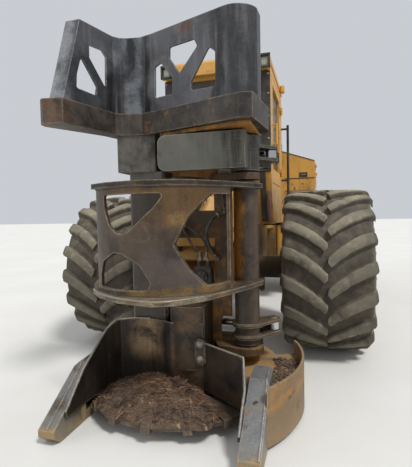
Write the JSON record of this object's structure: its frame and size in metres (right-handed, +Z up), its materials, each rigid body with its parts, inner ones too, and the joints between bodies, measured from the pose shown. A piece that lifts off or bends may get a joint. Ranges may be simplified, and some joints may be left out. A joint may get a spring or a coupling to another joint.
{
  "type": "wheeled feller buncher",
  "caption": "Wheeled feller buncher: an articulated carrier on wide tyres, with a disc saw felling head, grab arms and a tall crown on a short boom ahead of its cab.",
  "frame": {"origin": "on the ground, in the middle of the machine's length and width", "axes": "+X to the machine's left, -Y forward towards the felling head, +Z up"},
  "size_m": [3.2, 6.95, 3.15],
  "materials": {
    "yellow_paint": "weathered yellow paint with dust and chipped edges",
    "head_paint": "weathered yellow paint over rust",
    "dark_steel": "dark, oily and dusty",
    "worn_steel": "bare worn steel with rust",
    "saw_steel": "worn bare steel",
    "barrel_paint": "satin black",
    "rod_chrome": "polished",
    "tyre_rubber": "dusty rubber",
    "rim_paint": "weathered yellow paint",
    "window_glass": "tinted and dusty",
    "seat_fabric": "woven black",
    "cab_plastic": "textured",
    "engine_iron": "rough",
    "stack_steel": "heat-browned steel",
    "core_metal": "finned core, black"
  },
  "bodies": {
    "front_chassis": {"front_frame": "yellow_paint", "front_axle": "yellow_paint", "cab_shell": "yellow_paint", "cab_roof": "yellow_paint", "cab_glass": "window_glass", "window_guards": "dark_steel", "seat": "seat_fabric", "console": "cab_plastic", "access_steps": "dark_steel"},
    "rear_chassis": {"rear_frame": "yellow_paint", "rear_axle": "yellow_paint", "hood": "yellow_paint", "rear_grille": "dark_steel", "radiator": "core_metal", "engine_block": "engine_iron", "stacks": "stack_steel", "side_tanks": "yellow_paint", "bumper": "yellow_paint"},
    "door": {"cab_door": "yellow_paint", "door_glass": "window_glass"},
    "left_hatch": {"engine_door_left": "yellow_paint"},
    "right_hatch": {"engine_door_right": "yellow_paint"},
    "boom": {"lift_boom": "yellow_paint"},
    "head": {"head_frame": "head_paint", "mast": "dark_steel", "crown_beam": "dark_steel", "wings": "worn_steel", "saw_housing": "yellow_paint", "throat_walls": "dark_steel", "horns": "worn_steel", "saw_motor": "barrel_paint"},
    "saw": {"saw_disc": "saw_steel"},
    "grab_arm": {"grab_arm": "worn_steel"},
    "gather_arm": {"gather_arm": "worn_steel"},
    "lift_barrels": {"lift_barrels": "barrel_paint"},
    "lift_rods": {"lift_rods": "rod_chrome"},
    "tilt_barrel": {"tilt_barrel": "barrel_paint"},
    "tilt_rod": {"tilt_rod": "rod_chrome"},
    "grab_barrel": {"grab_barrel": "barrel_paint"},
    "grab_rod": {"grab_rod": "rod_chrome"},
    "gather_barrel": {"gather_barrel": "barrel_paint"},
    "gather_rod": {"gather_rod": "rod_chrome"},
    "steer_barrel_left": {"steer_barrel_left": "barrel_paint"},
    "steer_rod_left": {"steer_rod_left": "rod_chrome"},
    "steer_barrel_right": {"steer_barrel_right": "barrel_paint"},
    "steer_rod_right": {"steer_rod_right": "rod_chrome"},
    "wheel_front_left": {"tyre_front_left": "tyre_rubber", "rim_front_left": "rim_paint"},
    "wheel_front_right": {"tyre_front_right": "tyre_rubber", "rim_front_right": "rim_paint"},
    "wheel_rear_left": {"tyre_rear_left": "tyre_rubber", "rim_rear_left": "rim_paint"},
    "wheel_rear_right": {"tyre_rear_right": "tyre_rubber", "rim_rear_right": "rim_paint"}
  },
  "joints": [
    {"name": "steering", "type": "hinge", "parent": "front_chassis", "child": "rear_chassis", "pos_m": [0, 0.525, 0.975], "axis": [0, 0, 1], "range_deg": [-45, 45]},
    {"name": "wheel_spin_front_left", "type": "hinge", "parent": "front_chassis", "child": "wheel_front_left", "pos_m": [1.17, -1.075, 0.85], "axis": [1, 0, 0], "continuous": true},
    {"name": "wheel_spin_front_right", "type": "hinge", "parent": "front_chassis", "child": "wheel_front_right", "pos_m": [-1.17, -1.075, 0.85], "axis": [1, 0, 0], "continuous": true},
    {"name": "wheel_spin_rear_left", "type": "hinge", "parent": "rear_chassis", "child": "wheel_rear_left", "pos_m": [1.17, 2.125, 0.85], "axis": [1, 0, 0], "continuous": true},
    {"name": "wheel_spin_rear_right", "type": "hinge", "parent": "rear_chassis", "child": "wheel_rear_right", "pos_m": [-1.17, 2.125, 0.85], "axis": [1, 0, 0], "continuous": true},
    {"name": "door_swing", "type": "hinge", "parent": "front_chassis", "child": "door", "pos_m": [0.622, -0.111, 2.39], "axis": [0, 0, 1], "range_deg": [0, 100]},
    {"name": "left_hatch_lift", "type": "hinge", "parent": "rear_chassis", "child": "left_hatch", "pos_m": [1.058, 2.15, 2.214], "axis": [0, -1, 0], "range_deg": [0, 100]},
    {"name": "right_hatch_lift", "type": "hinge", "parent": "rear_chassis", "child": "right_hatch", "pos_m": [-1.058, 2.15, 2.214], "axis": [0, 1, 0], "range_deg": [0, 100]},
    {"name": "boom_lift", "type": "hinge", "parent": "front_chassis", "child": "boom", "pos_m": [0, -1.475, 1.55], "axis": [-1, 0, 0], "range_deg": [-3, 32]},
    {"name": "head_tilt", "type": "hinge", "parent": "boom", "child": "head", "pos_m": [0, -2.175, 0.85], "axis": [1, 0, 0], "range_deg": [-12, 18]},
    {"name": "saw_spin", "type": "hinge", "parent": "head", "child": "saw", "pos_m": [0.03, -2.615, 0.102], "axis": [0, 0, 1], "continuous": true},
    {"name": "grab_swing", "type": "hinge", "parent": "head", "child": "grab_arm", "pos_m": [0.555, -2.525, 0.56], "axis": [0, 0, 1], "range_deg": [0, 100]},
    {"name": "gather_swing", "type": "hinge", "parent": "head", "child": "gather_arm", "pos_m": [0.555, -2.525, 1.92], "axis": [0, 0, 1], "range_deg": [0, 95]},
    {"name": "lift_barrel_swing", "type": "hinge", "parent": "front_chassis", "child": "lift_barrels", "pos_m": [0, -1.405, 0.7], "axis": [-1, 0, 0], "range_deg": [-1.28, 10.72]},
    {"name": "lift_rod_slide", "type": "slide", "parent": "lift_barrels", "child": "lift_rods", "axis": [0, -0.7772, 0.6292], "range_m": [-0.03066, 0.32222]},
    {"name": "tilt_barrel_swing", "type": "hinge", "parent": "boom", "child": "tilt_barrel", "pos_m": [0, -1.575, 1.82], "axis": [1, 0, 0], "range_deg": [-1.34, 0.99]},
    {"name": "tilt_rod_slide", "type": "slide", "parent": "tilt_barrel", "child": "tilt_rod", "axis": [0, -0.8736, -0.4866], "range_m": [-0.11715, 0.17547]},
    {"name": "steer_left_barrel_swing", "type": "hinge", "parent": "front_chassis", "child": "steer_barrel_left", "pos_m": [0.27, -0.27, 0.99], "axis": [0, 0, 1], "range_deg": [-4.23, 4.23]},
    {"name": "steer_left_rod_slide", "type": "slide", "parent": "steer_barrel_left", "child": "steer_rod_left", "axis": [-0.06, 0.9982, 0], "range_m": [-0.16671, 0.16671]},
    {"name": "steer_right_barrel_swing", "type": "hinge", "parent": "front_chassis", "child": "steer_barrel_right", "pos_m": [-0.27, -0.27, 0.99], "axis": [0, 0, 1], "range_deg": [-4.23, 4.23]},
    {"name": "steer_right_rod_slide", "type": "slide", "parent": "steer_barrel_right", "child": "steer_rod_right", "axis": [0.06, 0.9982, 0], "range_m": [-0.16671, 0.16671]},
    {"name": "grab_barrel_swing", "type": "hinge", "parent": "head", "child": "grab_barrel", "pos_m": [-0.35, -2.325, 0.56], "axis": [0, 0, 1], "range_deg": [-0.3, 2.3]},
    {"name": "grab_rod_slide", "type": "slide", "parent": "grab_barrel", "child": "grab_rod", "axis": [0.9993, -0.0368, 0], "range_m": [-0.36824, 0.0005]},
    {"name": "gather_barrel_swing", "type": "hinge", "parent": "head", "child": "gather_barrel", "pos_m": [-0.25, -2.315, 1.92], "axis": [0, 0, 1], "range_deg": [-0.3, 2.2]},
    {"name": "gather_rod_slide", "type": "slide", "parent": "gather_barrel", "child": "gather_rod", "axis": [0.9987, -0.0512, 0], "range_m": [-0.34355, 0.0005]}
  ],
  "couplings": [
    {"joint": "lift_barrel_swing", "follows": "boom_lift", "ratio": 0.32557},
    {"joint": "lift_rod_slide", "follows": "boom_lift", "m_per_rad": 0.57604},
    {"joint": "tilt_barrel_swing", "follows": "head_tilt", "ratio": -0.05757},
    {"joint": "tilt_rod_slide", "follows": "head_tilt", "m_per_rad": 0.55696},
    {"joint": "steer_left_barrel_swing", "follows": "steering", "ratio": 0.08741},
    {"joint": "steer_left_rod_slide", "follows": "steering", "m_per_rad": 0.21162},
    {"joint": "steer_right_barrel_swing", "follows": "steering", "ratio": 0.08741},
    {"joint": "steer_right_rod_slide", "follows": "steering", "m_per_rad": -0.21162},
    {"joint": "grab_barrel_swing", "follows": "grab_swing", "ratio": 0.02},
    {"joint": "grab_rod_slide", "follows": "grab_swing", "m_per_rad": -0.2107},
    {"joint": "gather_barrel_swing", "follows": "gather_swing", "ratio": 0.02},
    {"joint": "gather_rod_slide", "follows": "gather_swing", "m_per_rad": -0.2069}
  ]
}
